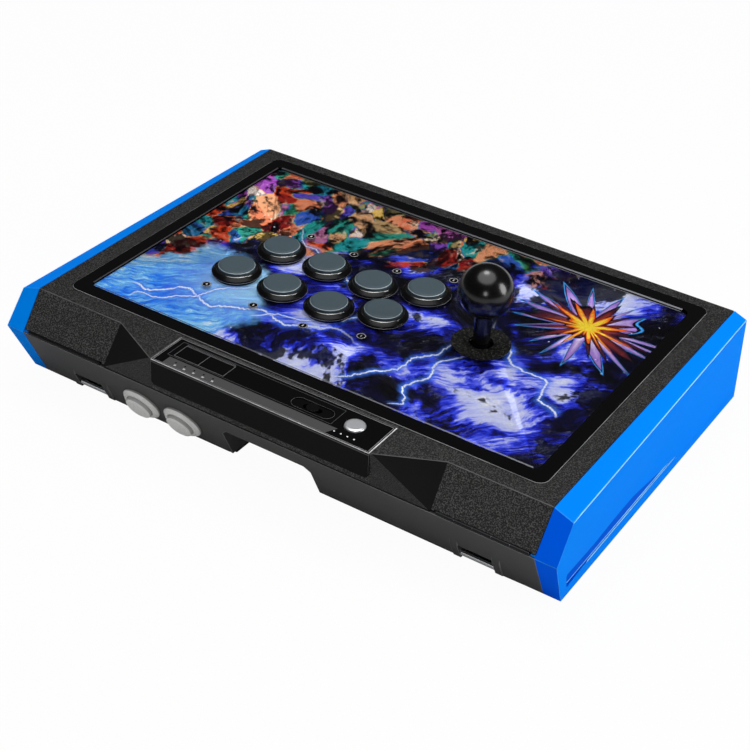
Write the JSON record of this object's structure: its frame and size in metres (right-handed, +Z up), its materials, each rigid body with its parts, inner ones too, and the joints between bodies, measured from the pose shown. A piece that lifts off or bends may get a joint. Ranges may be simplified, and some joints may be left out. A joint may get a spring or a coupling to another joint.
{
  "type": "arcade fight stick",
  "caption": "Arcade controller case with a hinged lid, ball-top lever, round push buttons, rear function strip and blue side panels.",
  "frame": {"origin": "middle of the rubber foot pad's underside, centred on the whole object's box", "axes": "+X to the player's right, -Y towards the player, +Y to the rear with the function strip, +Z up"},
  "size_m": [0.4046, 0.272, 0.1233],
  "materials": {
    "shell": "fine-grained black plastic",
    "tray": "smooth dark grey plastic",
    "blue_panel": "satin blue plastic",
    "foot_rubber": "matte rubber",
    "steel": "plated steel",
    "black_steel": "black plated steel",
    "bezel": "clear plastic with a dark printed border",
    "print": "printed sheet",
    "gloss_black": "polished black plastic",
    "satin_grey": "satin grey plastic",
    "pale_grey": "satin pale grey plastic",
    "dark_plastic": "matte black plastic",
    "board": "green circuit board",
    "chrome": "bright metallised",
    "nylon": "white nylon",
    "lamp": "clear light guides",
    "wire": "insulated wire"
  },
  "bodies": {
    "base": {"bottom_shell": "tray", "foot_pad": "foot_rubber", "base_plate": "steel", "tray_screws": "steel", "left_side_panel": "blue_panel", "right_side_panel": "blue_panel", "side_panel_screws": "steel", "strap_bars": "steel", "hinge_base_leaves": "black_steel", "hinge_pins": "steel", "main_board": "board", "cable_socket": "steel", "rear_button_bodies": "pale_grey", "rear_button_switches": "dark_plastic"},
    "lid": {"top_shell": "shell", "control_panel": "steel", "panel_screws": "black_steel", "art_sheet": "print", "clear_cover": "bezel", "hinge_lid_leaves": "black_steel", "strip_cover": "gloss_black", "strip_board": "board", "indicator_lenses": "lamp", "lever_plate": "black_steel", "lever_screws": "steel", "lever_housing": "dark_plastic", "lever_board": "board", "lever_switches": "dark_plastic", "lever_gate": "nylon", "button_switches": "dark_plastic", "wiring_loom": "wire", "button_body_1": "gloss_black", "button_body_2": "gloss_black", "button_body_3": "gloss_black", "button_body_4": "gloss_black", "button_body_5": "gloss_black", "button_body_6": "gloss_black", "button_body_7": "gloss_black", "button_body_8": "gloss_black"},
    "lever_cradle": {"lever_spring": "steel"},
    "lever": {"lever_shaft": "steel", "shaft_cover": "dark_plastic", "lever_pivot": "nylon", "lever_actuator": "dark_plastic", "lever_clip": "steel", "ball_top": "gloss_black"},
    "dust_washer": {"dust_washer": "dark_plastic"},
    "guide_button": {"guide_button": "chrome"},
    "lock_slider": {"lock_slider": "gloss_black"},
    "release_button": {"release_button": "dark_plastic"},
    "plunger_1": {"plunger_1": "satin_grey"},
    "plunger_2": {"plunger_2": "satin_grey"},
    "plunger_3": {"plunger_3": "satin_grey"},
    "plunger_4": {"plunger_4": "satin_grey"},
    "plunger_5": {"plunger_5": "satin_grey"},
    "plunger_6": {"plunger_6": "satin_grey"},
    "plunger_7": {"plunger_7": "satin_grey"},
    "plunger_8": {"plunger_8": "satin_grey"},
    "rear_plunger_1": {"rear_plunger_1": "pale_grey"},
    "rear_plunger_2": {"rear_plunger_2": "pale_grey"}
  },
  "joints": [
    {"name": "lid_hinge", "type": "hinge", "parent": "base", "child": "lid", "pos_m": [0, 0.133, 0.0425], "axis": [-1, 0, 0], "range_deg": [0, 65]},
    {"name": "lever_fore_aft", "type": "hinge", "parent": "lid", "child": "lever_cradle", "pos_m": [-0.0746, 0.0003, 0.0555], "axis": [1, 0, 0], "range_deg": [-8, 8], "stiffness_Nm_per_rad": 0.6, "deforming": ["lever_spring"]},
    {"name": "lever_side", "type": "hinge", "parent": "lever_cradle", "child": "lever", "pos_m": [-0.0746, 0.0003, 0.0555], "axis": [0, 1, 0], "range_deg": [-8, 8], "stiffness_Nm_per_rad": 0.6, "deforming": ["lever_spring"]},
    {"name": "washer_slide", "type": "slide", "parent": "lid", "child": "dust_washer", "axis": [1, 0, 0], "range_m": [-0.0018, 0.0018]},
    {"name": "guide_press", "type": "slide", "parent": "lid", "child": "guide_button", "axis": [0, 0, -1], "range_m": [0, 0.0008], "stiffness_N_per_m": 300, "springref_m": -0.003},
    {"name": "lock_slide", "type": "slide", "parent": "lid", "child": "lock_slider", "axis": [1, 0, 0], "range_m": [-0.003, 0.003]},
    {"name": "release_press", "type": "slide", "parent": "lid", "child": "release_button", "axis": [0, 1, 0], "range_m": [0, 0.0032], "stiffness_N_per_m": 300, "springref_m": -0.004},
    {"name": "press_1", "type": "slide", "parent": "lid", "child": "plunger_1", "axis": [0, 0, -1], "range_m": [0, 0.0034], "stiffness_N_per_m": 100, "springref_m": -0.006},
    {"name": "press_2", "type": "slide", "parent": "lid", "child": "plunger_2", "axis": [0, 0, -1], "range_m": [0, 0.0034], "stiffness_N_per_m": 100, "springref_m": -0.006},
    {"name": "press_3", "type": "slide", "parent": "lid", "child": "plunger_3", "axis": [0, 0, -1], "range_m": [0, 0.0034], "stiffness_N_per_m": 100, "springref_m": -0.006},
    {"name": "press_4", "type": "slide", "parent": "lid", "child": "plunger_4", "axis": [0, 0, -1], "range_m": [0, 0.0034], "stiffness_N_per_m": 100, "springref_m": -0.006},
    {"name": "press_5", "type": "slide", "parent": "lid", "child": "plunger_5", "axis": [0, 0, -1], "range_m": [0, 0.0034], "stiffness_N_per_m": 100, "springref_m": -0.006},
    {"name": "press_6", "type": "slide", "parent": "lid", "child": "plunger_6", "axis": [0, 0, -1], "range_m": [0, 0.0034], "stiffness_N_per_m": 100, "springref_m": -0.006},
    {"name": "press_7", "type": "slide", "parent": "lid", "child": "plunger_7", "axis": [0, 0, -1], "range_m": [0, 0.0034], "stiffness_N_per_m": 100, "springref_m": -0.006},
    {"name": "press_8", "type": "slide", "parent": "lid", "child": "plunger_8", "axis": [0, 0, -1], "range_m": [0, 0.0034], "stiffness_N_per_m": 100, "springref_m": -0.006},
    {"name": "rear_press_1", "type": "slide", "parent": "base", "child": "rear_plunger_1", "axis": [0, -0.9007, 0.4344], "range_m": [0, 0.003], "stiffness_N_per_m": 100, "springref_m": -0.006},
    {"name": "rear_press_2", "type": "slide", "parent": "base", "child": "rear_plunger_2", "axis": [0, -0.9007, 0.4344], "range_m": [0, 0.003], "stiffness_N_per_m": 100, "springref_m": -0.006}
  ],
  "couplings": [
    {"joint": "washer_slide", "follows": "lever_side", "m_per_rad": 0.01195}
  ]
}
